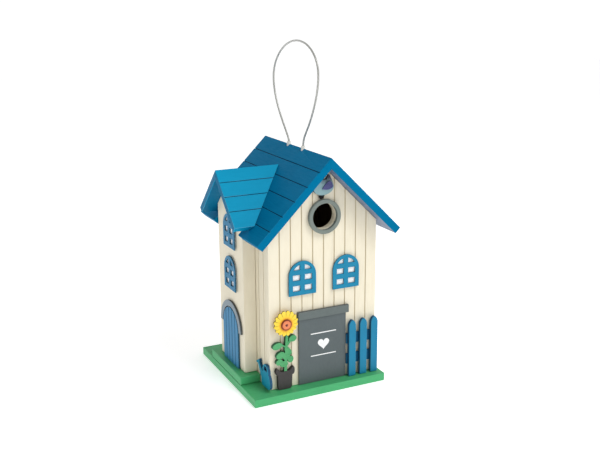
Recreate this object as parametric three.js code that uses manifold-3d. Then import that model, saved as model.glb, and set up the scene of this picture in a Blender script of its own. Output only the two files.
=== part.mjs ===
// A wooden cottage nest box: a grooved house body under a steep gable roof, with a gabled bay on
// its left side, thin painted trim on its walls, a small garden in front and a wire loop to hang it.
// Millimetres, +Z up. The front faces -Y. The origin is the middle of the base plate's underside.
import * as THREE from "three";
import { mergeVertices } from "three/addons/utils/BufferGeometryUtils.js";
import Module from "manifold-3d";

const wasm = await Module();
wasm.setup();

// ---- driving dimensions ------------------------------------------------------------------

const GAP = 0.3;                // play between neighbouring pieces
const BOARD = 8;                // plywood of the walls and the main roof
const BAY_BOARD = 7;            // plywood of the bay's small roof
const TRIM = 2;                 // thin plywood of the door, ring, sign and windows
const PLANK = 12.6;             // spacing of the upright grooves in the walls
const GROOVE_WIDTH = 1.2;
const ROOF_GROOVE_WIDTH = 0.8;
const GROOVE_DEPTH = 0.8;

const BASE = { width: 153.7, depth: 158, height: 8.5, front: -15 };

// The house is laid out from its own front left corner, which stands here on the base plate.
const HOUSE_X = -53.65;
const HOUSE_Y = -64;
const BODY = { width: 126, depth: 129 };
const MIDDLE = BODY.width / 2;
const FLOOR = BASE.height + GAP;

const ROOF = { ridge: 253.7, pitch: THREE.MathUtils.degToRad(44.75), slope: 115.5, overhang: 17.9, boards: 6, shift: 0 };
const BAY = { outer: -14.5, width: 69, middle: 67.2 };
const BAY_ROOF = { ridge: 235, pitch: THREE.MathUtils.degToRad(44.4), slope: 72.3, outer: -29, boards: 4, shift: 1.8 };
const PLINTH = { outer: -23.2, front: 24.5, back: 112, height: 9.3 };

const ENTRANCE = { bore: 14, height: 190.4, ringOuter: 18.3, ringThickness: 4 };
const CLEAN_OUT = { bore: 21, height: 62, coverRadius: 27, pivotHeight: 95, earRadius: 9, cover: 4 };
const WINDOW = { width: 31.4, straight: 21, sill: 109.6, spread: 25.5, baySills: [104.3, 151], bayShift: 2.7 };
const DOOR = { width: 42.4, springing: 60.5, archInner: 22.7, archOuter: 29.4, archShift: 1.1 };
const SIGN = { left: 32.9, right: 88.9, top: 81.9 };
const LINTEL = { left: 31.7, right: 91.7, height: 8.6 };
const FLOWER = { x: 16.5, z: 82.7, petalRadius: 15.1, petals: 16, disc: 5.8, discDrop: 1.4 };
const FENCE = { first: 95, pitch: 13.5, count: 3, width: 8.5, top: 73.3, shoulder: 67.8 };
const CABLE = { radius: 1.1, feet: 17.7, sleeveRadius: 2.3 };
const SCREW = { shank: 1.6, head: 3.4 };

const COLOURS = {
  cream: 0xece4d0, blue: 0x0087be, roof: 0x0073ab, green: 0x4aa96e, grey: 0x646e70,
  ring: 0x87918f, white: 0xf7f9fa, window: 0x1e87b4, door: 0x417da5, charcoal: 0x46413f,
  yellow: 0xfad73c, orange: 0xeb7850, leaf: 0x55a56e, teal: 0x73969b, violet: 0x555a86,
  black: 0x18181a, steel: 0xb9bcc0, sleeve: 0xe6e2d6, wire: 0xa9abad,
};

// ---- solids ------------------------------------------------------------------------------

function toSolid(geometry) {
  const bare = geometry.clone();
  bare.deleteAttribute("normal");
  bare.deleteAttribute("uv");
  const merged = mergeVertices(bare, 1e-4);
  return new wasm.Manifold(new wasm.Mesh({
    numProp: 3,
    vertProperties: new Float32Array(merged.attributes.position.array),
    triVerts: new Uint32Array(merged.index.array),
  }));
}

function toGeometry(solid) {
  const { vertProperties, triVerts } = solid.getMesh();
  const geometry = new THREE.BufferGeometry();
  geometry.setAttribute("position", new THREE.BufferAttribute(vertProperties, 3));
  geometry.setIndex(new THREE.BufferAttribute(triVerts, 1));
  return geometry;
}

function cut(geometry, ...tools) {
  let solid = toSolid(geometry);
  for (const tool of tools) solid = solid.subtract(toSolid(tool));
  return toGeometry(solid);
}

function join(...geometries) {
  let solid = toSolid(geometries[0]);
  for (const other of geometries.slice(1)) solid = solid.add(toSolid(other));
  return toGeometry(solid);
}

function mesh(name, geometry, colour, roughness = 0.55, metalness = 0) {
  const material = new THREE.MeshStandardMaterial({ color: COLOURS[colour], roughness, metalness });
  const piece = new THREE.Mesh(geometry, material);
  piece.name = name;
  return piece;
}

// A box from its low corner to its high corner.
function box(x0, x1, y0, y1, z0, z1) {
  const geometry = new THREE.BoxGeometry(x1 - x0, y1 - y0, z1 - z0);
  return geometry.translate((x0 + x1) / 2, (y0 + y1) / 2, (z0 + z1) / 2);
}

function extrude(shape, depth, curveSegments = 10) {
  return new THREE.ExtrudeGeometry(shape, { depth, bevelEnabled: false, curveSegments });
}

// A plate drawn in X and Z as seen from the front, between the planes Y = front and Y = back.
function frontPlate(shape, front, back, curveSegments) {
  return extrude(shape, back - front, curveSegments).rotateX(Math.PI / 2).translate(0, back, 0);
}

// A bar drawn in Y and Z that runs along X from left to right.
function barAlongX(shape, left, right) {
  const turn = new THREE.Matrix4().makeBasis(
    new THREE.Vector3(0, 1, 0), new THREE.Vector3(0, 0, 1), new THREE.Vector3(1, 0, 0));
  return extrude(shape, right - left).applyMatrix4(turn).translate(left, 0, 0);
}

function polygon(...points) {
  return new THREE.Shape(points.map(([x, y]) => new THREE.Vector2(x, y)));
}

function disc(x, y, radius) {
  const shape = new THREE.Shape();
  shape.absarc(x, y, radius, 0, 2 * Math.PI, false);
  return shape;
}

function ellipse(x, y, long, short, turn) {
  const shape = new THREE.Shape();
  shape.absellipse(x, y, long, short, 0, 2 * Math.PI, false, THREE.MathUtils.degToRad(turn));
  return shape;
}

// An upright outline with a round top, standing on y = foot and centred on x = 0.
function roundTop(halfWidth, foot, springing) {
  const shape = new THREE.Shape();
  shape.moveTo(-halfWidth, foot);
  shape.lineTo(halfWidth, foot);
  shape.lineTo(halfWidth, springing);
  shape.absarc(0, springing, halfWidth, 0, Math.PI, false);
  shape.closePath();
  return shape;
}

// An upright cylinder, used for screws and for the holes that they go through.
function rod(radius, x, y, z0, z1, sides = 16) {
  const geometry = new THREE.CylinderGeometry(radius, radius, z1 - z0, sides);
  return geometry.rotateX(Math.PI / 2).translate(x, y, (z0 + z1) / 2);
}

// A cylinder that points along Y.
function pin(radius, x, z, y0, y1, sides = 16) {
  const geometry = new THREE.CylinderGeometry(radius, radius, y1 - y0, sides);
  return geometry.translate(x, (y0 + y1) / 2, z);
}

// ---- roof lines --------------------------------------------------------------------------

// A point on one side of a gable: down the slope from the ridge, then out from its top face.
function slopePoint(middle, ridge, pitch, side, down, out) {
  const across = down * Math.cos(pitch) + out * Math.sin(pitch);
  const height = ridge - down * Math.sin(pitch) + out * Math.cos(pitch);
  return [middle + side * across, height];
}

function mainSlope(side, down, out) {
  return slopePoint(MIDDLE, ROOF.ridge, ROOF.pitch, side, down, out);
}

function baySlope(side, down, out) {
  return slopePoint(BAY.middle, BAY_ROOF.ridge, BAY_ROOF.pitch, side, down, out);
}

// The outline of one roof board: mitred at the ridge, square at the eave, grooved on top.
function roofOutline(point, thickness, roof) {
  const start = GAP / 2 / Math.cos(roof.pitch);
  const points = [point(start + thickness * Math.tan(roof.pitch), -thickness), point(roof.slope, -thickness)];
  points.push(point(roof.slope, 0));
  for (let board = roof.boards - 1; board > 0; board--) {
    const groove = (roof.slope * board) / roof.boards - roof.shift;
    points.push(point(groove + ROOF_GROOVE_WIDTH / 2, 0));
    points.push(point(groove + ROOF_GROOVE_WIDTH / 2, -GROOVE_DEPTH));
    points.push(point(groove - ROOF_GROOVE_WIDTH / 2, -GROOVE_DEPTH));
    points.push(point(groove - ROOF_GROOVE_WIDTH / 2, 0));
  }
  points.push(point(start, 0));
  return polygon(...points);
}

// How high a wall may go under a roof board at this distance from the ridge line.
function underRoof(roof, thickness, distance) {
  return roof.ridge - (thickness + GAP) / Math.cos(roof.pitch) - Math.abs(distance) * Math.tan(roof.pitch);
}

function underMainRoof(x) {
  return underRoof(ROOF, BOARD, x - MIDDLE);
}

function underBayRoof(y) {
  return underRoof(BAY_ROOF, BAY_BOARD, y - BAY.middle);
}

// ---- base --------------------------------------------------------------------------------

const SCREW_PLACES = [];
for (const x of [BOARD / 2, BODY.width - BOARD / 2]) {
  for (const y of [25, BODY.depth - 25]) SCREW_PLACES.push([x, y]);
}
const SCREW_LENGTH = 22;
const SCREW_SUNK = 0.6;

function baseScrew([x, y]) {
  const shank = rod(SCREW.shank, x, y, SCREW_SUNK, SCREW_LENGTH);
  return join(shank, rod(SCREW.head, x, y, SCREW_SUNK, SCREW_SUNK + 2));
}

function screwHole([x, y]) {
  const shank = rod(SCREW.shank + GAP, x, y, -1, SCREW_LENGTH + 1);
  return join(shank, rod(SCREW.head + GAP, x, y, -1, SCREW_SUNK + 2 + GAP));
}

function makeBase() {
  const left = PLINTH.outer;
  const { front, width, depth, height } = BASE;
  const plate = box(left, left + width, front, front + depth, 0, height);
  const plinth = box(left, -GAP, PLINTH.front, PLINTH.back, FLOOR, BASE.height + PLINTH.height);
  const pieces = [
    mesh("base_plate", cut(plate, ...SCREW_PLACES.map(screwHole)), "green"),
    mesh("bay_plinth", plinth, "green"),
  ];
  SCREW_PLACES.forEach((place, index) => {
    pieces.push(mesh(`base_screw_${index + 1}`, baseScrew(place), "steel", 0.35, 1));
  });
  return pieces;
}

// ---- walls -------------------------------------------------------------------------------

function gableOutline() {
  return polygon(
    [0, FLOOR], [BODY.width, FLOOR], [BODY.width, underMainRoof(BODY.width)],
    [MIDDLE, underMainRoof(MIDDLE)], [0, underMainRoof(0)]);
}

// Thin upright bars that cut the plank grooves into a face at y, open towards -Y or +Y.
function gableGrooves(y) {
  const bars = [];
  for (let x = PLANK; x < BODY.width - 1; x += PLANK) {
    bars.push(box(x - GROOVE_WIDTH / 2, x + GROOVE_WIDTH / 2, y - GROOVE_DEPTH, y + GROOVE_DEPTH, 0, ROOF.ridge));
  }
  return bars;
}

function makeGables() {
  const rearFace = BODY.depth;
  const bore = pin(ENTRANCE.bore, MIDDLE, ENTRANCE.height, -1, BOARD + 1, 40);
  const hatch = pin(CLEAN_OUT.bore, MIDDLE, CLEAN_OUT.height, rearFace - BOARD - 1, rearFace + 1, 32);
  const pilot = pin(SCREW.shank + GAP, MIDDLE, CLEAN_OUT.pivotHeight, rearFace - BOARD - 1, rearFace + 1);
  const front = frontPlate(gableOutline(), 0, BOARD);
  const rear = frontPlate(gableOutline(), rearFace - BOARD, rearFace);
  return [
    mesh("front_wall", cut(front, bore, ...gableGrooves(0)), "cream"),
    mesh("rear_wall", cut(rear, hatch, pilot, ...gableGrooves(rearFace)), "cream"),
  ];
}

// A side wall stands between the gables, with its top edge planed to the roof's pitch.
function sideWall(name, outer, inner) {
  const outline = polygon(
    [outer, FLOOR], [inner, FLOOR], [inner, underMainRoof(inner)], [outer, underMainRoof(outer)]);
  const wall = frontPlate(outline, BOARD + GAP, BODY.depth - BOARD - GAP);
  const grooves = [];
  for (let y = PLANK; y < BODY.depth - BOARD - GAP; y += PLANK) {
    grooves.push(box(outer - GROOVE_DEPTH, outer + GROOVE_DEPTH, y - GROOVE_WIDTH / 2, y + GROOVE_WIDTH / 2, 0, 200));
  }
  return mesh(name, cut(wall, ...grooves, ...SCREW_PLACES.map(screwHole)), "cream");
}

function makeBay() {
  const half = BAY.width / 2;
  const foot = BASE.height + PLINTH.height + GAP;
  const left = BAY.middle - half;
  const right = BAY.middle + half;
  const outline = polygon(
    [left, foot], [right, foot], [right, underBayRoof(right)],
    [BAY.middle, underBayRoof(BAY.middle)], [left, underBayRoof(left)]);
  return mesh("bay_block", barAlongX(outline, BAY.outer, -GAP), "cream");
}

// ---- roofs -------------------------------------------------------------------------------

// The wire goes down through the ridge at its two feet.
const FEET = [BODY.depth / 2 - CABLE.feet, BODY.depth / 2 + CABLE.feet];

function ridgeHoles() {
  return FEET.map((y) => rod(CABLE.sleeveRadius + GAP, MIDDLE, y, ROOF.ridge - 30, ROOF.ridge + 5));
}

function mainRoofBoard(name, side) {
  const outline = roofOutline((down, out) => mainSlope(side, down, out), BOARD, ROOF);
  const board = frontPlate(outline, -ROOF.overhang, BODY.depth + ROOF.overhang);
  const tools = ridgeHoles();
  if (side < 0) {
    const half = BAY.width / 2 + GAP;
    tools.push(box(-60, 0, BAY.middle - half, BAY.middle + half, 100, 260));
  }
  return mesh(name, cut(board, ...tools), "roof");
}

// A bay roof board runs in from the bay and is cut off where it meets the main roof's left slope.
function bayRoofBoard(name, side) {
  const outline = roofOutline((down, out) => baySlope(side, down, out), BAY_BOARD, BAY_ROOF);
  const board = barAlongX(outline, BAY_ROOF.outer, MIDDLE);
  const below = frontPlate(polygon(
    mainSlope(-1, -20, GAP), mainSlope(-1, 200, GAP), [MIDDLE, mainSlope(-1, 200, GAP)[1]], [150, ROOF.ridge]),
    -50, BODY.depth + 50);
  return mesh(name, cut(board, below), "blue");
}

function makeRoofs() {
  return [
    mainRoofBoard("roof_board_left", -1),
    mainRoofBoard("roof_board_right", 1),
    bayRoofBoard("bay_roof_board_front", -1),
    bayRoofBoard("bay_roof_board_rear", 1),
  ];
}

// ---- entrance and perched bird -----------------------------------------------------------

function makeEntrance() {
  const outline = disc(MIDDLE, ENTRANCE.height, ENTRANCE.ringOuter);
  outline.holes.push(disc(MIDDLE, ENTRANCE.height, ENTRANCE.bore));
  return mesh("entrance_ring", frontPlate(outline, -ENTRANCE.ringThickness - GAP, -GAP, 24), "ring");
}

// A flat cut-out bird stands on the ring, under the gable's peak.
function makeBird() {
  const x = MIDDLE;
  const body = join(
    frontPlate(ellipse(x - 1.4, 221, 11.6, 8, 4), -3.3, -GAP),
    frontPlate(disc(x - 8.6, 223, 4.6), -3.3, -GAP),
    frontPlate(polygon([x - 11.4, 224.5], [x - 15.4, 221.8], [x - 11.4, 220.4]), -3.3, -GAP),
    frontPlate(polygon([x + 1, 227.5], [x + 7, 219.5], [x + 10, 222.2], [x + 8.2, 227.6], [x + 5.4, 233.6],
      [x + 4, 233.6]), -3.3, -GAP));
  const wing = new THREE.Shape();
  wing.moveTo(x - 3.6, 219.6);
  wing.quadraticCurveTo(x + 3, 217.6, x + 7.2, 219.8);
  wing.quadraticCurveTo(x + 9.4, 221.4, x + 8.4, 223.2);
  wing.quadraticCurveTo(x + 7.4, 226.4, x + 5.6, 227.7);
  wing.quadraticCurveTo(x + 1.6, 227.7, x - 3.6, 219.6);
  const foot = polygon([x - 7, 212.6], [x, 212.6], [x - 1.9, 209.3], [x - 4.9, 209.3]);
  return [
    mesh("bird_body", body, "teal"),
    mesh("bird_wing", frontPlate(wing, -4.8, -3.6, 8), "violet"),
    mesh("bird_feet", frontPlate(foot, -2.8, -0.8), "black"),
  ];
}

// ---- windows -----------------------------------------------------------------------------

// Six openings: two rows of two, and two quarter lights under the arch.
function windowOpenings(sill) {
  const openings = [];
  const bar = 2.7;
  const light = { width: 8.2, height: 5.9 };
  for (const side of [-1, 1]) {
    for (const rise of [4.7, 16.2]) {
      const near = side * bar;
      const far = side * (bar + light.width);
      openings.push(polygon([near, sill + rise], [far, sill + rise],
        [far, sill + rise + light.height], [near, sill + rise + light.height]));
    }
    const quarter = new THREE.Shape();
    const radius = 12.2;
    const springing = sill + WINDOW.straight;
    const low = sill + 27.4;
    const start = Math.asin((low - springing) / radius);
    const end = Math.acos(bar / radius);
    quarter.moveTo(side * bar, low);
    for (let step = 0; step <= 4; step++) {
      const angle = start + ((end - start) * step) / 4;
      quarter.lineTo(side * radius * Math.cos(angle), springing + radius * Math.sin(angle));
    }
    quarter.closePath();
    openings.push(quarter);
  }
  return openings;
}

// A window on a wall whose outer face is y = 0: a white back sheet and a pierced frame over it.
function makeWindow(name, x, sill) {
  const outline = roundTop(WINDOW.width / 2, sill, sill + WINDOW.straight);
  const openings = windowOpenings(sill).map((opening) => frontPlate(opening, -4, 0));
  const frame = cut(frontPlate(outline, -2.7, -1.2, 16), ...openings);
  const back = roundTop(WINDOW.width / 2 - 1.5, sill + 1.5, sill + WINDOW.straight);
  const pair = [
    mesh(`${name}_frame`, frame, "window"),
    mesh(`${name}_panes`, frontPlate(back, -0.9, -GAP, 12), "white"),
  ];
  for (const piece of pair) piece.position.x = x;
  return pair;
}

// ---- front door sign ---------------------------------------------------------------------

function makeSign() {
  const { left, right, top } = SIGN;
  const panel = polygon([left, FLOOR], [right, FLOOR], [right, top], [left, top]);
  const foot = top + GAP;
  const lintel = polygon([LINTEL.left, foot], [LINTEL.right, foot],
    [LINTEL.right, foot + LINTEL.height], [LINTEL.left, foot + LINTEL.height]);
  return [
    mesh("sign_panel", frontPlate(panel, -TRIM - GAP, -GAP), "grey"),
    mesh("sign_lintel", frontPlate(lintel, -TRIM - 2, -GAP), "grey"),
  ];
}

// ---- sunflower in its pot ----------------------------------------------------------------

function petalOutline() {
  const shape = new THREE.Shape();
  const { x, z, petals, petalRadius } = FLOWER;
  const notch = petalRadius * 0.82;
  const step = (2 * Math.PI) / petals;
  shape.moveTo(x + notch, z);
  for (let petal = 0; petal < petals; petal++) {
    const middle = (petal + 0.5) * step;
    const end = (petal + 1) * step;
    const reach = petalRadius * 1.06;
    shape.quadraticCurveTo(x + reach * Math.cos(middle), z + reach * Math.sin(middle),
      x + notch * Math.cos(end), z + notch * Math.sin(end));
  }
  return shape;
}

function makePlant() {
  const flat = (shape) => frontPlate(shape, -4.3, -GAP, 6);
  const plant = join(
    flat(polygon([14.7, 29.2], [17.9, 29.2], [20, 72], [17, 72])),
    flat(ellipse(25, 64.2, 4.4, 3.5, 8)),
    flat(polygon([18, 58.5], [19.8, 57.6], [23.6, 62.2], [21.6, 64.6])),
    flat(ellipse(7.4, 58.2, 5.8, 3.6, 14)),
    flat(polygon([10.6, 58.8], [17.4, 54.6], [17.4, 56.6], [11.6, 60.2])),
    flat(ellipse(19.6, 51.4, 5.6, 2.9, -48)),
    flat(ellipse(10.8, 47.4, 5.2, 3.8, 24)),
    flat(ellipse(17.6, 45, 4.4, 3.5, 0)),
    flat(ellipse(22.4, 41.4, 3.1, 3.9, -20)),
    flat(ellipse(9.4, 40, 4, 3.3, 20)),
    flat(ellipse(14.6, 37.4, 4.8, 3.4, 0)));
  const pot = new THREE.Shape();
  pot.moveTo(9.6, FLOOR);
  pot.lineTo(21, FLOOR);
  pot.quadraticCurveTo(23.2, FLOOR, 23.5, FLOOR + 3);
  pot.lineTo(24.3, 24);
  pot.quadraticCurveTo(27, 24.4, 27, 28.6);
  pot.quadraticCurveTo(27, 33.4, 24.6, 33.2);
  pot.quadraticCurveTo(21.8, 28.9, 17.6, 28.9);
  pot.lineTo(13, 28.9);
  pot.quadraticCurveTo(9.6, 28.9, 7.6, 32.9);
  pot.quadraticCurveTo(4.9, 33.2, 4.9, 29.6);
  pot.quadraticCurveTo(4.9, 26, 7.2, 25.6);
  pot.lineTo(7.6, FLOOR + 3);
  pot.quadraticCurveTo(7.8, FLOOR, 9.6, FLOOR);
  const centre = disc(FLOWER.x + 0.2, FLOWER.z - FLOWER.discDrop, FLOWER.disc);
  return [
    mesh("sunflower_stem_leaves", plant, "leaf"),
    mesh("sunflower_petals", frontPlate(petalOutline(), -6.2, -4.6, 3), "yellow"),
    mesh("sunflower_centre", frontPlate(centre, -7.6, -6.5, 8), "orange"),
    mesh("flower_pot", frontPlate(pot, -4.6, -GAP, 5), "charcoal"),
  ];
}

// ---- picket fence ------------------------------------------------------------------------

function makeFence() {
  const pieces = [];
  const half = FENCE.width / 2;
  for (let index = 0; index < FENCE.count; index++) {
    const x = FENCE.first + index * FENCE.pitch;
    const picket = new THREE.Shape();
    picket.moveTo(x - half, FLOOR);
    picket.lineTo(x + half, FLOOR);
    picket.lineTo(x + half, FENCE.shoulder);
    picket.quadraticCurveTo(x + half * 0.7, FENCE.top - 1, x, FENCE.top);
    picket.quadraticCurveTo(x - half * 0.7, FENCE.top - 1, x - half, FENCE.shoulder);
    pieces.push(mesh(`fence_picket_${index + 1}`, frontPlate(picket, -6.7, -2.4, 4), "blue"));
  }
  const left = FENCE.first - half - 1.2;
  const right = BODY.width;
  for (const [name, foot] of [["fence_rail_lower", 22], ["fence_rail_upper", 45]]) {
    pieces.push(mesh(name, box(left, right, -2.1, -GAP, foot, foot + 12), "blue"));
  }
  return pieces;
}

// ---- watering can ------------------------------------------------------------------------

// A flat cut-out can against the left wall. Its outline is drawn in -Y and Z.
function makeWateringCan() {
  const body = new THREE.Shape();
  body.moveTo(-12.5, 11);
  body.lineTo(2, 11);
  body.quadraticCurveTo(8, 11.4, 8, 18);
  body.quadraticCurveTo(7.6, 25.6, 1.6, 29.6);
  body.lineTo(-10.6, 29.6);
  body.quadraticCurveTo(-16.6, 20, -14.6, 13);
  body.quadraticCurveTo(-14, 11, -12.5, 11);
  const handle = disc(-4.2, 29.2, 7.8);
  handle.holes.push(disc(-4.2, 31, 4));
  const parts = [
    body, handle,
    polygon([-13.6, 16], [-11.4, 24], [-21.6, 35], [-25, 33]),
    polygon([-20.4, 37.4], [-28, 32.6], [-26.8, 30.6], [-18.8, 34.8]),
  ];
  return mesh("watering_can", join(...parts.map((part) => frontPlate(part, -3.3, -GAP, 8))), "window");
}

// ---- clean-out cover ---------------------------------------------------------------------

// A plate over the hole in the rear wall, hung from one screw above it.
function makeCleanOut() {
  const face = BODY.depth + GAP;
  const { height, coverRadius, pivotHeight, earRadius, cover } = CLEAN_OUT;
  const neck = polygon([MIDDLE - earRadius, height], [MIDDLE + earRadius, height],
    [MIDDLE + earRadius, pivotHeight], [MIDDLE - earRadius, pivotHeight]);
  const plate = join(
    frontPlate(disc(MIDDLE, height, coverRadius), face, face + cover, 20),
    frontPlate(neck, face, face + cover),
    frontPlate(disc(MIDDLE, pivotHeight, earRadius), face, face + cover, 12));
  const hole = pin(SCREW.shank + GAP, MIDDLE, pivotHeight, face - 1, face + cover + 1);
  const head = face + cover + GAP;
  const screw = join(
    pin(SCREW.shank, MIDDLE, pivotHeight, BODY.depth - BOARD + 0.5, head + 1),
    pin(SCREW.head, MIDDLE, pivotHeight, head, head + 2));
  return [
    mesh("clean_out_cover", cut(plate, hole), "grey"),
    mesh("clean_out_pivot_screw", screw, "steel", 0.35, 1),
  ];
}

// ---- hanging wire ------------------------------------------------------------------------

// The loop as it stands, from its front foot over the top to its rear foot: distance behind the
// middle of the ridge, and height. It leans back a little.
const LOOP = [
  [-17.7, 231], [-17.7, 240], [-17.7, 249], [-17.8, 257], [-20.1, 264.4], [-25.2, 271.7], [-33.8, 283],
  [-40.9, 294.5], [-47.1, 306.6], [-51.1, 317.8], [-52.9, 328.2], [-52.4, 337.8], [-48.9, 346],
  [-41.9, 353.5], [-31.5, 359.7], [-18, 363.6], [-1.7, 364.5], [15.9, 361.6], [32.1, 354.9],
  [45.1, 345.4], [53.5, 334.2], [56.4, 322.6], [54.8, 311], [50.1, 299.4], [42.7, 287.4], [32.7, 275.2],
  [22.9, 264.2], [19.2, 259.8], [17.8, 255.8], [17.7, 249], [17.7, 240], [17.7, 231],
];

function sleeve(y, z0, z1, radius) {
  return cut(rod(radius, MIDDLE, y, z0, z1, 14), rod(CABLE.radius + GAP, MIDDLE, y, z0 - 1, z1 + 1, 14));
}

function makeHanger() {
  const centre = BODY.depth / 2;
  const route = LOOP.map(([behind, z]) => new THREE.Vector3(MIDDLE, centre + behind, z));
  const section = new THREE.Shape();
  section.absarc(0, 0, CABLE.radius, 0, 2 * Math.PI, false);
  const cable = new THREE.ExtrudeGeometry(section, {
    steps: 76, curveSegments: 4, bevelEnabled: false, extrudePath: new THREE.CatmullRomCurve3(route),
  });
  const pieces = [mesh("hanging_cable", cable, "wire", 0.4, 0.3)];
  FEET.forEach((y, index) => {
    const end = index ? "rear" : "front";
    pieces.push(mesh(`cable_sleeve_${end}`, sleeve(y, ROOF.ridge - 6, ROOF.ridge + 2.5, CABLE.sleeveRadius), "sleeve"));
    pieces.push(mesh(`cable_stop_${end}`, sleeve(y, 232.4, 238, 2.6), "steel", 0.35, 1));
  });
  return pieces;
}

// ---- assembly ----------------------------------------------------------------------------

const bayFace = new THREE.Group();
bayFace.position.set(BAY.outer, BAY.middle, 0);
bayFace.rotation.z = -Math.PI / 2;
for (const [index, sill] of WINDOW.baySills.entries()) {
  bayFace.add(...makeWindow(index ? "bay_window_upper" : "bay_window_lower", WINDOW.bayShift, sill));
}
const doorFoot = BASE.height + PLINTH.height + GAP;
const planks = [-3, -1, 1, 3].map((step) => {
  const x = (step * DOOR.width) / 10;
  return box(x - 0.5, x + 0.5, -TRIM - 1, -TRIM + 0.4, 0, 100);
});
const door = frontPlate(roundTop(DOOR.width / 2, doorFoot, DOOR.springing), -TRIM - GAP, -GAP, 16);
bayFace.add(mesh("bay_door", cut(door, ...planks), "door"));
const arch = new THREE.Shape();
arch.absarc(DOOR.archShift, DOOR.springing, DOOR.archOuter, 0, Math.PI, false);
arch.absarc(DOOR.archShift, DOOR.springing, DOOR.archInner, Math.PI, 0, true);
bayFace.add(mesh("bay_door_arch", frontPlate(arch, -TRIM - 2 * GAP, -GAP, 20), "ring"));

const leftWallFace = new THREE.Group();
leftWallFace.rotation.z = -Math.PI / 2;
leftWallFace.add(makeWateringCan());

const house = new THREE.Group();
house.position.set(HOUSE_X, HOUSE_Y, 0);
house.add(
  ...makeBase(),
  ...makeGables(),
  sideWall("left_wall", 0, BOARD),
  sideWall("right_wall", BODY.width, BODY.width - BOARD),
  makeBay(),
  ...makeRoofs(),
  makeEntrance(),
  ...makeBird(),
  ...makeWindow("front_window_left", MIDDLE - WINDOW.spread, WINDOW.sill),
  ...makeWindow("front_window_right", MIDDLE + WINDOW.spread, WINDOW.sill),
  ...makeSign(),
  ...makePlant(),
  ...makeFence(),
  ...makeCleanOut(),
  ...makeHanger(),
  bayFace,
  leftWallFace);

const birdhouse = new THREE.Group();
birdhouse.add(house);

export default birdhouse;
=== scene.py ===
import math

import bmesh
import bpy
from mathutils import Matrix, Vector


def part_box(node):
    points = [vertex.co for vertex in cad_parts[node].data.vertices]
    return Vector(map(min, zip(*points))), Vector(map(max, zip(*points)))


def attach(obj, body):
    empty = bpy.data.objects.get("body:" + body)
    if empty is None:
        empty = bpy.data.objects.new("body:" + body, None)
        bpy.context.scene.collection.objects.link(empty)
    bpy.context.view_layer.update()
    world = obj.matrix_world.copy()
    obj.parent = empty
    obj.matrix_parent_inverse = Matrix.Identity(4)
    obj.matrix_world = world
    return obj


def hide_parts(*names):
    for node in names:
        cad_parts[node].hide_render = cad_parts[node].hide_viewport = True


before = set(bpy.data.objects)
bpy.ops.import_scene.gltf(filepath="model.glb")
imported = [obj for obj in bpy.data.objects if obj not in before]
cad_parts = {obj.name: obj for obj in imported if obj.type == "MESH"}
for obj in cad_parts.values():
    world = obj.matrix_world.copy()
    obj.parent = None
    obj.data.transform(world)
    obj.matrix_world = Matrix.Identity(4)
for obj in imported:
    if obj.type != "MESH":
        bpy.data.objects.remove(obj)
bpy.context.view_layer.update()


# ---- Camera ------------------------------------------------------------------------------
# A portrait lens about one metre away, in front of the house and to its left,
# looking slightly down on the base plate.

camera_lens = bpy.data.cameras.new("camera")
camera_lens.sensor_width = 36
camera_lens.lens = 52.25
camera = bpy.data.objects.new("camera", camera_lens)
camera.location = (-0.38895, -0.8356, 0.4086)
camera.rotation_euler = [math.radians(angle) for angle in (75.304, 0.354, -25.8)]
bpy.context.scene.collection.objects.link(camera)
bpy.context.scene.camera = camera


# ---- Hanging wire ------------------------------------------------------------------------
# A loop of stranded steel wire under a clear vinyl coat, 2.2 mm thick and stiff enough to
# stand up. Both ends go down through the ridge and are held there by a crimped stop.

def linear(hex_colour):
    """An sRGB colour such as "ff8800" as the linear values that a shader takes."""
    channels = [int(hex_colour[at:at + 2], 16) / 255 for at in (0, 2, 4)]
    return [c / 12.92 if c <= 0.04045 else ((c + 0.055) / 1.055) ** 2.4 for c in channels] + [1.0]


def add_node(tree, kind, inputs=None, **settings):
    """Adds one node. An input is a value, or the output socket that feeds it."""
    node = tree.nodes.new(kind)
    for setting, value in settings.items():
        setattr(node, setting, value)
    for socket, value in (inputs or {}).items():
        if isinstance(value, bpy.types.NodeSocket):
            tree.links.new(value, node.inputs[socket])
        else:
            node.inputs[socket].default_value = value
    return node


def new_material(name):
    """An empty material, and its node tree."""
    material = bpy.data.materials.new(name)
    material.use_nodes = True
    material.node_tree.nodes.clear()
    return material, material.node_tree


def finish_surface(tree, shader):
    add_node(tree, "ShaderNodeOutputMaterial", {"Surface": shader.outputs["BSDF"]})


def vinyl_coated_wire():
    """Twisted steel strands under a thin clear coat: grey, with fine slanted lines and a wet gloss."""
    material, tree = new_material("vinyl_coated_steel_wire")
    uv = add_node(tree, "ShaderNodeTexCoord").outputs["UV"]
    # 45 twists over the loop's length, each strand crossing the wire at a slant.
    turned = add_node(tree, "ShaderNodeMapping", {"Vector": uv, "Scale": (45, 3, 1)})
    strands = add_node(tree, "ShaderNodeTexWave", {"Vector": turned.outputs["Vector"], "Scale": 1.0},
                       wave_type="BANDS", bands_direction="DIAGONAL")
    tint = add_node(tree, "ShaderNodeMix", {
        0: strands.outputs["Fac"], 6: linear("7f7f7b"), 7: linear("c9c9c4")}, data_type="RGBA")
    bump = add_node(tree, "ShaderNodeBump", {
        "Height": strands.outputs["Fac"], "Strength": 0.35, "Distance": 0.0002})
    shader = add_node(tree, "ShaderNodeBsdfPrincipled", {
        "Base Color": tint.outputs[2], "Metallic": 0.35, "Roughness": 0.38,
        "Coat Weight": 0.7, "Coat Roughness": 0.15, "Normal": bump.outputs["Normal"]})
    finish_surface(tree, shader)
    return material


RIDGE_X = 0.00935
MIDDLE_Y = 0.0005
WIRE_THICKNESS = 0.0022
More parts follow.
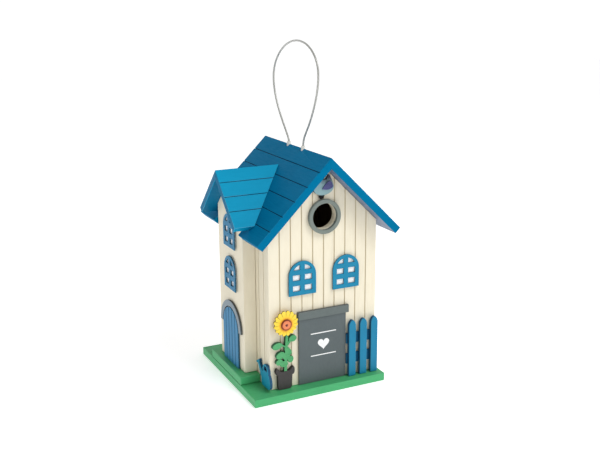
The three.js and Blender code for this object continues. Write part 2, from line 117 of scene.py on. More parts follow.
# The loop as it stands, from its front foot over the top to its rear foot, in millimetres:
# distance behind the middle of the ridge, and height. It leans back a little.
WIRE_ROUTE = [
    (-17.7, 231), (-17.7, 240), (-17.7, 249), (-17.8, 257), (-20.1, 264.4), (-25.2, 271.7), (-33.8, 283),
    (-40.9, 294.5), (-47.1, 306.6), (-51.1, 317.8), (-52.9, 328.2), (-52.4, 337.8), (-48.9, 346),
    (-41.9, 353.5), (-31.5, 359.7), (-18, 363.6), (-1.7, 364.5), (15.9, 361.6), (32.1, 354.9),
    (45.1, 345.4), (53.5, 334.2), (56.4, 322.6), (54.8, 311), (50.1, 299.4), (42.7, 287.4), (32.7, 275.2),
    (22.9, 264.2), (19.2, 259.8), (17.8, 255.8), (17.7, 249), (17.7, 240), (17.7, 231),
]
wire_route = [(RIDGE_X, MIDDLE_Y + behind / 1000, height / 1000) for behind, height in WIRE_ROUTE]

wire_curve = bpy.data.curves.new("hanging_wire", "CURVE")
wire_curve.dimensions = "3D"
wire_curve.resolution_u = 8
wire_curve.bevel_depth = WIRE_THICKNESS / 2
wire_curve.bevel_resolution = 4
wire_curve.use_fill_caps = True
wire_line = wire_curve.splines.new("BEZIER")
wire_line.bezier_points.add(len(wire_route) - 1)
for knot, place in zip(wire_line.bezier_points, wire_route):
    knot.co = place
    knot.handle_left_type = knot.handle_right_type = "AUTO"
wire_curve.materials.append(vinyl_coated_wire())
wire = bpy.data.objects.new("hanging_wire", wire_curve)
bpy.context.scene.collection.objects.link(wire)
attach(wire, "house")
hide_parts("hanging_cable")


# ---- Wire sleeves and stops --------------------------------------------------------------
# Each end of the wire passes a short clear plastic sleeve pressed into the ridge, and is
# caught underneath by an aluminium ferrule squeezed onto it.

SAME_POINT = 1e-6


def make_piece(name, shape, materials, nodes=(), body="house", smooth_under=20):
    """Turns a bmesh into a finished object that rides on a body and stands for the CAD nodes."""
    mesh = bpy.data.meshes.new(name)
    shape.to_mesh(mesh)
    shape.free()
    for material in materials:
        mesh.materials.append(material)
    mesh.shade_smooth()
    mesh.set_sharp_from_angle(angle=math.radians(smooth_under))
    piece = bpy.data.objects.new(name, mesh)
    bpy.context.scene.collection.objects.link(piece)
    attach(piece, body)
    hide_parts(*nodes)
    return piece


def turned_ring(inner, outer, low, high, rounding, centre, upright=True):
    """A ring spun from a small rounded section: round the Z axis, or the Y axis when not upright."""
    shape = bmesh.new()
    corners = [(inner, low), (outer, low), (outer, high), (inner, high)]
    section = shape.faces.new([shape.verts.new((radius, 0, height)) for radius, height in corners])
    bmesh.ops.bevel(shape, geom=list(section.verts), offset=rounding, offset_type="OFFSET",
                    affect="VERTICES", segments=4, profile=0.5, material=-1)
    bmesh.ops.delete(shape, geom=list(shape.faces), context="FACES_ONLY")
    bmesh.ops.spin(shape, geom=list(shape.verts) + list(shape.edges), cent=(0, 0, 0), axis=(0, 0, 1),
                   dvec=(0, 0, 0), angle=2 * math.pi, steps=64, use_merge=True, use_duplicate=False)
    bmesh.ops.remove_doubles(shape, verts=shape.verts, dist=SAME_POINT)
    if not upright:
        bmesh.ops.rotate(shape, verts=shape.verts, cent=(0, 0, 0),
                         matrix=Matrix.Rotation(math.pi / 2, 3, "X"))
    bmesh.ops.translate(shape, verts=shape.verts, vec=centre)
    bmesh.ops.recalc_face_normals(shape, faces=shape.faces)
    return shape


def clear_sleeve_plastic():
    """Soft clear PVC tube: almost colourless, faintly warm, glossy."""
    material, tree = new_material("clear_soft_pvc")
    shader = add_node(tree, "ShaderNodeBsdfPrincipled", {
        "Base Color": linear("f4f1e8"), "Roughness": 0.3, "IOR": 1.5, "Transmission Weight": 0.15})
    finish_surface(tree, shader)
    return material


def squeezed_aluminium():
    """Bare aluminium dulled by the crimping jaws: pale metal with a blurred gloss."""
    material, tree = new_material("squeezed_aluminium")
    # Marks of the jaws, about 1 mm across.
    spots = add_node(tree, "ShaderNodeTexNoise", {
        "Vector": add_node(tree, "ShaderNodeTexCoord").outputs["Object"], "Scale": 900.0, "Detail": 3.0})
    bump = add_node(tree, "ShaderNodeBump", {
        "Height": spots.outputs["Fac"], "Strength": 0.3, "Distance": 0.0002})
    shader = add_node(tree, "ShaderNodeBsdfPrincipled", {
        "Base Color": linear("c4c6c9"), "Metallic": 1.0, "Roughness": 0.42,
        "Normal": bump.outputs["Normal"]})
    finish_surface(tree, shader)
    return material


FITTING_BORE = 0.0013
FITTINGS = [
    ("sleeve", "sleeve", 0.0003, clear_sleeve_plastic(), "sleeve_plastic"),
    ("ferrule", "stop", 0.0006, squeezed_aluminium(), "stop_metal"),
]
for end in ("front", "rear"):
    for fitting, node, rounding, finish, slot in FITTINGS:
        low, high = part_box(f"cable_{node}_{end}")
        middle = (low + high) / 2
        ring = turned_ring(FITTING_BORE, (high.y - low.y) / 2, low.z, high.z, rounding,
                           (middle.x, middle.y, 0))
        make_piece(
            f"wire_{fitting}_{end}", ring, [finish], [f"cable_{node}_{end}"])


# ---- Base plate and step -----------------------------------------------------------------
# A 9 mm plywood plate and a second one under the bay, sawn, sanded and brushed with grass
# green paint. The walls stand on it and are screwed to it from below.

SAME_CORNER = 4e-6
GLUE_LINE = 0.00002
SEAM_GAP = 0.00025
SHARP_CORNER = math.radians(32)
GROOVE_DEPTHS = (0.0004, 0.0012)


def eased(node, rounding, groove_face=None, second_material_sides=(), cut_side=None, seam=None):
    """A copy of a CAD piece with its outer edges rounded, as sanding and paint leave them.

    The face corners on rounded edges get "rubbed" = 1, and those in grooves cut into the side that
    faces groove_face get "groove" = 1. The second material goes on faces turned to any of second_material_sides,
    or on the sawn edges of a plate whose front faces cut_side. A seam, such as (0, 0.01) for
    X = 0.01, is where the piece is glued to its neighbour: it closes the gap there and stays sharp.
    """
    shape = bmesh.new()
    shape.from_mesh(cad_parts[node].data)
    bmesh.ops.remove_doubles(shape, verts=shape.verts, dist=SAME_CORNER)
    bmesh.ops.dissolve_limit(shape, angle_limit=math.radians(1), verts=shape.verts, edges=shape.edges)
    for face in shape.faces:
        face.material_index = 0
    glued = set()
    if seam:
        axis, place = seam
        glued = {vert for vert in shape.verts if abs(vert.co[axis] - place) < SEAM_GAP}
        for vert in glued:
            vert.co[axis] = place + math.copysign(GLUE_LINE, vert.co[axis] - place)
    outer_edges = [edge for edge in shape.edges if edge.is_manifold and not glued.issuperset(edge.verts)
                   and edge.calc_face_angle_signed(0) > SHARP_CORNER]
    bevel = bmesh.ops.bevel(shape, geom=outer_edges, offset=rounding, offset_type="OFFSET",
                            affect="EDGES", segments=2, profile=0.5, material=-1, clamp_overlap=True)
    rounded_edge_tone = shape.loops.layers.float.new("rounded_edge_tone")
    rounded_faces = set(bevel["faces"])
    for face in rounded_faces:
        for loop in face.loops:
            if all(other in rounded_faces for other in loop.vert.link_faces):
                loop[rounded_edge_tone] = 1.0
    if groove_face:
        groove = shape.loops.layers.float.new("groove")
        direction = Vector(groove_face).normalized()
        surface = max(vert.co.dot(direction) for vert in shape.verts)
        for face in shape.faces:
            depth = surface - min(vert.co.dot(direction) for vert in face.verts)
            if GROOVE_DEPTHS[0] < depth < GROOVE_DEPTHS[1] and face not in rounded_faces:
                for loop in face.loops:
                    loop[groove] = 1.0
    for face in shape.faces:
        turned_to_second_material = any(face.normal.dot(Vector(side)) > 0.99 for side in second_material_sides)
        sawn = cut_side and abs(face.normal.dot(Vector(cut_side))) < 0.5
        if turned_to_second_material or sawn:
            face.material_index = 1
    return shape


def painted_wood(name, paint, deep, rounded_edge_tone=None, groove=None, grain=(1, 1, 0.12), streaks=0.5, shine=0.3):
    """Brushed satin enamel on sanded plywood.

    Brush streaks run along the grain, the axis with the smallest number. A soft mottling shows
    where the coat is thicker, and the grooves hold painted shadow and dust. Rounded edges take
    their own tone, mostly paler where the coat is thin; on the bay's roof that pale edge is also
    a painted highlight. Shine is the specular level, low where the coat dried dull.
    """
    material, tree = new_material(name)
    place = add_node(tree, "ShaderNodeTexCoord").outputs["Object"]
    along = add_node(tree, "ShaderNodeMapping", {"Vector": place, "Scale": grain}).outputs["Vector"]
    # Streaks 1.5 mm across, drawn a little coarser than bristle marks so that they show.
    brushing = add_node(tree, "ShaderNodeTexNoise", {
        "Vector": along, "Scale": 650.0, "Detail": 4.0, "Roughness": 0.6})
    # Patches about 25 mm across, where the paint went on thicker.
    mottling = add_node(tree, "ShaderNodeTexNoise", {"Vector": place, "Scale": 40.0, "Detail": 3.0})
    # The fine orange peel of dried paint, 0.7 mm across.
    peel = add_node(tree, "ShaderNodeTexNoise", {"Vector": place, "Scale": 1400.0, "Detail": 2.0})

    shade = add_node(tree, "ShaderNodeMath", {0: brushing.outputs["Fac"], 1: mottling.outputs["Fac"]},
                     operation="MULTIPLY")
    thin = add_node(tree, "ShaderNodeMapRange", {
        "Value": shade.outputs[0], "From Min": 0.1, "From Max": 0.42, "To Min": 0.0, "To Max": streaks})
    coat = add_node(tree, "ShaderNodeMix", {
        0: thin.outputs["Result"], 6: linear(paint), 7: linear(deep)}, data_type="RGBA")

    edge = add_node(tree, "ShaderNodeAttribute", attribute_name="rounded_edge_tone")
    patchy = add_node(tree, "ShaderNodeMapRange", {
        "Value": mottling.outputs["Fac"], "From Min": 0.42, "From Max": 0.62,
        "To Min": 0.15, "To Max": 0.8})
    rounded_edge_mask = add_node(tree, "ShaderNodeMath", {0: edge.outputs["Fac"], 1: patchy.outputs["Result"]},
                    operation="MULTIPLY")
    edged = add_node(tree, "ShaderNodeMix", {
        0: rounded_edge_mask.outputs[0], 6: coat.outputs[2], 7: linear(rounded_edge_tone or deep)}, data_type="RGBA")
    hollow = add_node(tree, "ShaderNodeAttribute", attribute_name="groove")
    grooved = add_node(tree, "ShaderNodeMix", {
        0: hollow.outputs["Fac"], 6: edged.outputs[2], 7: linear(groove or deep)}, data_type="RGBA")

    relief = add_node(tree, "ShaderNodeMath", {
        0: peel.outputs["Fac"], 1: 0.45, 2: brushing.outputs["Fac"]}, operation="MULTIPLY_ADD")
    bump = add_node(tree, "ShaderNodeBump", {
        "Height": relief.outputs[0], "Strength": 0.22, "Distance": 0.00025})
    dull = add_node(tree, "ShaderNodeMapRange", {
        "Value": brushing.outputs["Fac"], "From Min": 0.3, "From Max": 0.7, "To Min": 0.4, "To Max": 0.54})
    shader = add_node(tree, "ShaderNodeBsdfPrincipled", {
        "Base Color": grooved.outputs[2], "Roughness": dull.outputs["Result"], "IOR": 1.5,
        "Specular IOR Level": shine, "Normal": bump.outputs["Normal"]})
    finish_surface(tree, shader)
    return material


grass_green = painted_wood("grass_green_enamel", "4cb274", "3f9e63", "7cc695", grain=(0.12, 1, 1))
make_piece("painted_base_plate", eased("base_plate", 0.0012), [grass_green], ["base_plate"])
make_piece("painted_bay_step", eased("bay_plinth", 0.001), [grass_green], ["bay_plinth"])


# ---- Walls -------------------------------------------------------------------------------
# Four 8 mm plywood boards, glued and pinned at the corners. Narrow grooves are routed into
# the outer faces to look like upright planks. Cream paint outside, bare wood inside.

def bare_plywood():
    """Unpainted birch plywood: pale brown with long upright grain, matt."""
    material, tree = new_material("bare_birch_plywood")
    place = add_node(tree, "ShaderNodeTexCoord").outputs["Object"]
    along = add_node(tree, "ShaderNodeMapping", {"Vector": place, "Scale": (1, 1, 0.06)}).outputs["Vector"]
    # Growth lines about 2 mm apart.
    grain = add_node(tree, "ShaderNodeTexNoise", {"Vector": along, "Scale": 480.0, "Detail": 5.0})
    tint = add_node(tree, "ShaderNodeMix", {
        0: grain.outputs["Fac"], 6: linear("8a6a45"), 7: linear("b39167")}, data_type="RGBA")
    bump = add_node(tree, "ShaderNodeBump", {
        "Height": grain.outputs["Fac"], "Strength": 0.3, "Distance": 0.0003})
    shader = add_node(tree, "ShaderNodeBsdfPrincipled", {
        "Base Color": tint.outputs[2], "Roughness": 0.75, "Normal": bump.outputs["Normal"]})
    finish_surface(tree, shader)
    return material


FRONT, REAR, LEFT, RIGHT = (0, -1, 0), (0, 1, 0), (-1, 0, 0), (1, 0, 0)
cream = painted_wood("cream_enamel", "efe7d1", "e4dac0", "f4efe1", groove="cfc3a4")
plywood = bare_plywood()
for wall, outward in {"front_wall": FRONT, "rear_wall": REAR, "left_wall": LEFT, "right_wall": RIGHT}.items():
    inward = [-part for part in outward]
    make_piece(f"painted_{wall}", eased(wall, 0.0003, outward, [inward]), [cream, plywood],
               [wall])


# ---- Bay ---------------------------------------------------------------------------------
# A solid block of softwood with a gabled top, glued to the left wall over the step. Its
# faces are plain, with the same cream paint.

make_piece("painted_bay_block", eased("bay_block", 0.0006), [cream], ["bay_block"])


# ---- Roofs -------------------------------------------------------------------------------
# Plywood panels mitred at the ridge, with grooves routed along them to look like courses of
# boards. The main roof is deep blue and the bay's small roof a lighter blue. The main roof's
# undersides are a pale grey blue; the bay roof's undersides and left ends are a darker blue,
# painted shade.

ROOF_PITCH = math.radians(44.75)
BAY_PITCH = math.radians(44.4)
BAY_RIDGE_Y = 0.0032
ALONG_Y = (1, 0.12, 1)
ALONG_X = (0.12, 1, 1)
roof_blue = painted_wood("deep_blue_enamel", "00729e", "00638b", "2c8db5", groove="002c48",
                         grain=ALONG_Y, shine=0.02)
# The pale tone on its rounded edges is partly thin paint and partly a painted highlight along them.
bay_blue = painted_wood("light_blue_enamel", "009ac4", "008cb4", "7cc4dd", groove="02486a",
                        grain=ALONG_X, shine=0.08)
# Undersides of the main roof: a pale grey blue.
roof_underside_grey_blue = painted_wood("grey_blue_underside_paint", "74829f", "66758f", grain=ALONG_Y)
# Undersides and left ends of the bay's roof: a darker blue, painted shade where they face away from the
# light.
bay_blue_painted_shade = painted_wood("light_blue_enamel_painted_shade", "0a719b", "086387",
                             grain=ALONG_X, shine=0.08)
for side, lean in {"left": -1, "right": 1}.items():
    upward = (lean * math.sin(ROOF_PITCH), 0, math.cos(ROOF_PITCH))
    downward = [-part for part in upward]
    board = f"roof_board_{side}"
    make_piece(f"painted_{board}", eased(board, 0.0012, upward, [downward], seam=(0, RIDGE_X)),
               [roof_blue, roof_underside_grey_blue], [board])
for side, lean in {"front": -1, "rear": 1}.items():
    upward = (0, lean * math.sin(BAY_PITCH), math.cos(BAY_PITCH))
    downward = [-part for part in upward]
    board = f"bay_roof_board_{side}"
    # The undersides and left ends take the second material, the darker blue of painted shade.
    make_piece(f"painted_{board}", eased(board, 0.001, upward, [downward, LEFT], seam=(1, BAY_RIDGE_Y)),
               [bay_blue, bay_blue_painted_shade], [board])


# ---- Entrance ring -----------------------------------------------------------------------
# A plywood ring cut on a lathe, glued round the bird's hole so that it can't be widened.
# Stone grey paint.

RING_BORE = 0.01405
stone_grey = painted_wood("stone_grey_enamel", "7a847e", "6e7872", "98a19c", grain=(1, 1, 1))
ring_low, ring_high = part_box("entrance_ring")
ring_middle = (ring_low + ring_high) / 2
ring = turned_ring(RING_BORE, (ring_high.x - ring_low.x) / 2, -ring_high.y, -ring_low.y, 0.0005,
                   (ring_middle.x, 0, ring_middle.z), upright=False)
make_piece("painted_entrance_ring", ring, [stone_grey], ["entrance_ring"])


# ---- Perched bird ------------------------------------------------------------------------
# A bird cut from thin plywood and painted by hand, with a second layer for its wing. It
# stands on the ring, under the peak of the roof.

def laser_cut_edge(name, stain, ply):
    """The edge of laser-cut plywood: charred dark in patches, with the paler ply showing between."""
    material, tree = new_material(name)
    place = add_node(tree, "ShaderNodeTexCoord").outputs["Object"]
    # Patches about 1.5 mm across.
    char = add_node(tree, "ShaderNodeTexNoise", {"Vector": place, "Scale": 700.0, "Detail": 3.0})
    tint = add_node(tree, "ShaderNodeMix", {
        0: char.outputs["Fac"], 6: linear(stain), 7: linear(ply)}, data_type="RGBA")
    bump = add_node(tree, "ShaderNodeBump", {
        "Height": char.outputs["Fac"], "Strength": 0.3, "Distance": 0.0002})
    shader = add_node(tree, "ShaderNodeBsdfPrincipled", {
        "Base Color": tint.outputs[2], "Roughness": 0.7, "Normal": bump.outputs["Normal"]})
    finish_surface(tree, shader)
    return material


BELLY_TOP = 0.2275
BACK_BOTTOM = 0.2335


def hand_painted_bird():
    """Matt craft paint, blended wet from a slate back down to a pale belly."""
    material, tree = new_material("blended_slate_and_ice_blue_paint")
    place = add_node(tree, "ShaderNodeTexCoord").outputs["Object"]
    height = add_node(tree, "ShaderNodeSeparateXYZ", {0: place}).outputs["Z"]
    smudge = add_node(tree, "ShaderNodeTexNoise", {"Vector": place, "Scale": 350.0, "Detail": 3.0})
    # The brush carried each colour up to 6 mm into the other.
    smudged = add_node(tree, "ShaderNodeMath", {0: smudge.outputs["Fac"], 1: 0.006, 2: height},
                       operation="MULTIPLY_ADD")
    rise = add_node(tree, "ShaderNodeMapRange", {
        "Value": smudged.outputs[0], "From Min": BELLY_TOP, "From Max": BACK_BOTTOM,
        "To Min": 0.0, "To Max": 1.0})
    tint = add_node(tree, "ShaderNodeMix", {
        0: rise.outputs["Result"], 6: linear("87a9ae"), 7: linear("2b3148")}, data_type="RGBA")
    bump = add_node(tree, "ShaderNodeBump", {
        "Height": smudge.outputs["Fac"], "Strength": 0.2, "Distance": 0.0002})
    shader = add_node(tree, "ShaderNodeBsdfPrincipled", {
        "Base Color": tint.outputs[2], "Roughness": 0.55, "Normal": bump.outputs["Normal"]})
    finish_surface(tree, shader)
    return material


violet = painted_wood("violet_craft_paint", "5b5c93", "3b3f6c", "8587b5", grain=(0.3, 1, 1), streaks=1.0)
black = painted_wood("black_craft_paint", "0a0a0b", "060607", "1c1c1f", grain=(1, 1, 1), shine=0.15)
bird_edge = laser_cut_edge("slate_stained_laser_cut_edge", "1d2530", "4c5a62")
make_piece("painted_bird_body", eased("bird_body", 0.0004, cut_side=FRONT),
           [hand_painted_bird(), bird_edge], ["bird_body"])
make_piece("painted_bird_wing", eased("bird_wing", 0.0003), [violet], ["bird_wing"])
make_piece("painted_bird_feet", eased("bird_feet", 0.0002), [black], ["bird_feet"])


# ---- Windows -----------------------------------------------------------------------------
# Arched frames fretted from thin plywood and painted blue, each over a white back sheet
# that shows through as panes. Glued to the walls.

window_blue = painted_wood("window_blue_enamel", "0082a9", "00779b", "3ba1c0", grain=(1, 1, 0.2))
# The bay's frames get a duller, darker copy of the window blue: painted shade, as the bay's side gets less
# light.
window_blue_painted_shade = painted_wood("window_blue_enamel_painted_shade", "1078a3", "0e6c94", "459cc0", grain=(1, 1, 0.2))
window_edge = laser_cut_edge("blue_stained_laser_cut_edge", "0c3a52", "2f6f8c")
pane_white = painted_wood("white_primer", "ffffff", "f7f8fa", "ffffff", grain=(1, 1, 1))
for window, outward, paint in (
        ("front_window_left", FRONT, window_blue), ("front_window_right", FRONT, window_blue),
        ("bay_window_lower", LEFT, window_blue_painted_shade), ("bay_window_upper", LEFT, window_blue_painted_shade)):
    make_piece(f"painted_{window}_frame", eased(f"{window}_frame", 0.0002, cut_side=outward),
               [paint, window_edge], [f"{window}_frame"])
    make_piece(f"painted_{window}_panes", eased(f"{window}_panes", 0.0001), [pane_white],
               [f"{window}_panes"])


# ---- Bay door ----------------------------------------------------------------------------
# A thin arched panel with scored planks, and a grey arch over it like a stone hood. Both
# are cut from thin plywood and glued on.

door_blue = painted_wood("door_blue_enamel", "2b82b1", "2475a2", "63a5ca", groove="1f6a98")
arch_grey = painted_wood("blue_grey_enamel", "8796a0", "7a8993", "a5b1b9", grain=(1, 1, 1))
grey_edge = laser_cut_edge("grey_stained_laser_cut_edge", "33383b", "6b6f6d")
make_piece("painted_bay_door", eased("bay_door", 0.0003, LEFT, cut_side=LEFT), [door_blue, window_edge],
           ["bay_door"])
make_piece("painted_bay_door_arch", eased("bay_door_arch", 0.0003, cut_side=LEFT), [arch_grey, grey_edge],
           ["bay_door_arch"])


# ---- Front sign --------------------------------------------------------------------------
# A slate grey panel under a lintel, where a front door would be. Its decoration, a heart
# between two lines, is screen printed in white.

slate_grey = painted_wood("slate_grey_enamel", "5b6567", "51595b", "7f898b", grain=(1, 1, 0.3))
lintel_grey = painted_wood("lintel_grey_enamel", "646e6d", "596362", "86918f", grain=(0.3, 1, 1))
make_piece("painted_sign_panel", eased("sign_panel", 0.0003, cut_side=FRONT), [slate_grey, grey_edge],
           ["sign_panel"])
make_piece("painted_sign_lintel", eased("sign_lintel", 0.0004, cut_side=FRONT), [lintel_grey, grey_edge],
           ["sign_lintel"])

PRINT_THICKNESS = 0.0001
PRINT_HEIGHT = 0.0515
PRINT_SHIFT = 0.001
HEART_SCALE = 0.00042
LINE_RISE = 0.0125
LINE_LENGTH = 0.03
LINE_WIDTH = 0.0011
print_white = painted_wood("white_screen_print", "f4f5f5", "e6e8e8", "ffffff", grain=(1, 1, 1))
sign_low, sign_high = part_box("sign_panel")
print_middle = Vector(((sign_low.x + sign_high.x) / 2 + PRINT_SHIFT, sign_low.y, PRINT_HEIGHT))


def raise_print(shape):
    """Gives a flat outline, lying in X and Z on the sign, the thickness of a coat of ink."""
    raised = bmesh.ops.extrude_face_region(shape, geom=list(shape.faces))
    front_verts = [item for item in raised["geom"] if isinstance(item, bmesh.types.BMVert)]
    bmesh.ops.translate(shape, verts=front_verts, vec=(0, -PRINT_THICKNESS, 0))
    bmesh.ops.recalc_face_normals(shape, faces=shape.faces)
    return shape


# A disc pulled into the classic heart curve, 13 mm across.
heart = bmesh.new()
bmesh.ops.create_circle(heart, cap_ends=True, segments=56, radius=1.0)
for vert in heart.verts:
    turn = math.atan2(vert.co.y, vert.co.x)
    across = 16 * math.sin(turn) ** 3
    up = 13 * math.cos(turn) - 5 * math.cos(2 * turn) - 2 * math.cos(3 * turn) - math.cos(4 * turn)
    vert.co = print_middle + Vector((across, 0, up)) * HEART_SCALE
make_piece("printed_heart", raise_print(heart), [print_white])
for line, rise in {"upper": LINE_RISE, "lower": -LINE_RISE}.items():
    bar = bmesh.new()
    bmesh.ops.create_grid(bar, x_segments=1, y_segments=1, size=0.5,
                          matrix=Matrix.Rotation(math.pi / 2, 4, "X"))
    bmesh.ops.scale(bar, verts=bar.verts, vec=(LINE_LENGTH, 1, LINE_WIDTH))
    bmesh.ops.translate(bar, verts=bar.verts, vec=print_middle + Vector((0, 0, rise)))
    make_piece(f"printed_line_{line}", raise_print(bar), [print_white])


# ---- Potted sunflower --------------------------------------------------------------------
# Four layers of thin plywood: pot, stem with leaves, petals, and the flower's centre. Each
# is cut out, painted by hand and glued on the one behind.

centre_low, centre_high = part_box("sunflower_centre")
flower_centre = (centre_low + centre_high) / 2


def flower_distance(tree):
    """How far a point of the flower is from its centre, and at which angle."""
    place = add_node(tree, "ShaderNodeTexCoord").outputs["Object"]
    centred = add_node(tree, "ShaderNodeMapping", {
        "Vector": place, "Location": (-flower_centre.x, 0, -flower_centre.z), "Scale": (1, 0, 1)})
    distance = add_node(tree, "ShaderNodeVectorMath", {0: centred.outputs["Vector"]}, operation="LENGTH")
    parts = add_node(tree, "ShaderNodeSeparateXYZ", {0: centred.outputs["Vector"]})
    angle = add_node(tree, "ShaderNodeMath", {0: parts.outputs["Z"], 1: parts.outputs["X"]},
                     operation="ARCTAN2")
    return distance.outputs["Value"], angle.outputs[0]


def ringed_paint(name, rings, reach, petals=0):
    """Craft paint in rings round the flower's centre, with a dark brush line between petals.

    Each ring starts at its share of reach, the distance out to the piece's rim.
    """
    material, tree = new_material(name)
    distance, angle = flower_distance(tree)
    rough = add_node(tree, "ShaderNodeTexNoise", {
        "Vector": add_node(tree, "ShaderNodeTexCoord").outputs["Object"], "Scale": 500.0, "Detail": 3.0})
    wobble = add_node(tree, "ShaderNodeMath", {0: rough.outputs["Fac"], 1: 0.0012, 2: distance},
                      operation="MULTIPLY_ADD")
    outward = add_node(tree, "ShaderNodeMath", {0: wobble.outputs[0], 1: reach}, operation="DIVIDE")
    ramp = add_node(tree, "ShaderNodeValToRGB", {"Fac": outward.outputs[0]})
    stops = ramp.color_ramp.elements
    while len(stops) < len(rings):
        stops.new(0.5)
    for stop, (position, colour) in zip(stops, rings):
        stop.position = position
        stop.color = linear(colour)
    tint = ramp.outputs["Color"]
    if petals:
        turns = add_node(tree, "ShaderNodeMath", {0: angle, 1: petals / 2}, operation="MULTIPLY")
        wave = add_node(tree, "ShaderNodeMath", {0: turns.outputs[0]}, operation="SINE")
        size = add_node(tree, "ShaderNodeMath", {0: wave.outputs[0]}, operation="ABSOLUTE")
        line = add_node(tree, "ShaderNodeMapRange", {
            "Value": size.outputs[0], "From Min": 0.1, "From Max": 0.34, "To Min": 0.85, "To Max": 0.0})
        # The lines start under the centre disc and are darkest 11.5 mm out.
        outer = add_node(tree, "ShaderNodeMapRange", {
            "Value": distance, "From Min": 0.0072, "From Max": 0.0115, "To Min": 0.0, "To Max": 1.0})
        ink = add_node(tree, "ShaderNodeMath", {0: line.outputs["Result"], 1: outer.outputs["Result"]},
                       operation="MULTIPLY")
        tint = add_node(tree, "ShaderNodeMix", {
            0: ink.outputs[0], 6: tint, 7: linear("8f7d1e")}, data_type="RGBA").outputs[2]
    bump = add_node(tree, "ShaderNodeBump", {
        "Height": rough.outputs["Fac"], "Strength": 0.25, "Distance": 0.0002})
    shader = add_node(tree, "ShaderNodeBsdfPrincipled", {
        "Base Color": tint, "Roughness": 0.5, "Normal": bump.outputs["Normal"]})
    finish_surface(tree, shader)
    return material


petal_rings = [(0.0, "9a4a12"), (0.42, "b8601a"), (0.5, "f0a31e"), (0.62, "fbd22e"), (1.0, "fddc45")]
centre_rings = [(0.0, "420d08"), (0.27, "6a160e"), (0.37, "e8875a"), (0.78, "e6814f"), (0.88, "85290d"),
                (1.0, "6d220a")]
petal_paint = ringed_paint("sunflower_yellow_craft_paint", petal_rings, 0.0145, petals=16)
centre_paint = ringed_paint("terracotta_craft_paint", centre_rings, 0.0063)
leaf_green = painted_wood("leaf_green_craft_paint", "58ad72", "3f935b", "2d7a4d", grain=(0.4, 1, 1),
                          streaks=0.9)
charcoal = painted_wood("charcoal_craft_paint", "423f3f", "353232", "605c5b", grain=(1, 1, 0.4))
leaf_edge = laser_cut_edge("green_stained_laser_cut_edge", "1d4a33", "34704d")
pot_edge = laser_cut_edge("charred_laser_cut_edge", "1c1a19", "3a332c")
petal_edge = laser_cut_edge("olive_stained_laser_cut_edge", "4a4210", "8a7a2a")
make_piece("painted_flower_pot", eased("flower_pot", 0.0005, cut_side=FRONT), [charcoal, pot_edge],
           ["flower_pot"])
make_piece("painted_sunflower_leaves", eased("sunflower_stem_leaves", 0.0004, cut_side=FRONT),
           [leaf_green, leaf_edge], ["sunflower_stem_leaves"])
make_piece("painted_sunflower_petals", eased("sunflower_petals", 0.0003, cut_side=FRONT),
           [petal_paint, petal_edge], ["sunflower_petals"])
make_piece("painted_sunflower_centre", eased("sunflower_centre", 0.0003), [centre_paint],
           ["sunflower_centre"])


# ---- Picket fence ------------------------------------------------------------------------
# Three pointed plywood pickets, glued over two cross rails at the front right corner. Blue
# paint, with the rails behind painted darker as painted shade.

fence_blue = painted_wood("fence_blue_enamel", "0680a8", "057398", "3b9ec2", grain=(1, 1, 0.12))
# The rails get a darker blue: painted shade, where they lie back in the gaps behind the pickets.
rail_blue_painted_shade = painted_wood("fence_blue_enamel_painted_shade", "05608a", "04537a", "2f86ad", grain=(0.12, 1, 1))
fence_edge = laser_cut_edge("dark_blue_stained_laser_cut_edge", "003a5a", "0f5c82")
for part, paint in {
        "fence_rail_lower": rail_blue_painted_shade, "fence_rail_upper": rail_blue_painted_shade,
        "fence_picket_1": fence_blue, "fence_picket_2": fence_blue, "fence_picket_3": fence_blue}.items():
    make_piece(f"painted_{part}", eased(part, 0.0006, cut_side=FRONT), [paint, fence_edge],
               [part])


# ---- Watering can ------------------------------------------------------------------------
# A flat can cut from thin plywood, glued to the left wall by the front corner, with its
# spout towards the bay. Bright blue paint.

can_blue = painted_wood("bright_blue_craft_paint", "038eb0", "0380a0", "3ba7c3", grain=(1, 0.3, 1))
make_piece("painted_watering_can", eased("watering_can", 0.0004, cut_side=LEFT), [can_blue, fence_edge],
           ["watering_can"])


# ---- Clean-out cover and screws ----------------------------------------------------------
# A painted plywood cover swings on one screw over the hole in the rear wall. Four more
# zinc-plated screws hold the side walls to the base plate from below.

def zinc_plate():
    """Bright zinc on steel: bluish grey metal with a soft gloss."""
    material, tree = new_material("zinc_plated_steel")
    spangle = add_node(tree, "ShaderNodeTexNoise", {
        "Vector": add_node(tree, "ShaderNodeTexCoord").outputs["Object"], "Scale": 1600.0, "Detail": 2.0})
    dull = add_node(tree, "ShaderNodeMapRange", {
        "Value": spangle.outputs["Fac"], "From Min": 0.3, "From Max": 0.7, "To Min": 0.22, "To Max": 0.4})
    shader = add_node(tree, "ShaderNodeBsdfPrincipled", {
        "Base Color": linear("c3c8ce"), "Metallic": 1.0, "Roughness": dull.outputs["Result"]})
    finish_surface(tree, shader)
    return material


SCREW_HEAD_HEIGHT = 0.002
SCREW_SHANK_RADIUS = 0.0016
SCREW_TAPER = 0.002
SCREW_POINT_RADIUS = 0.0002


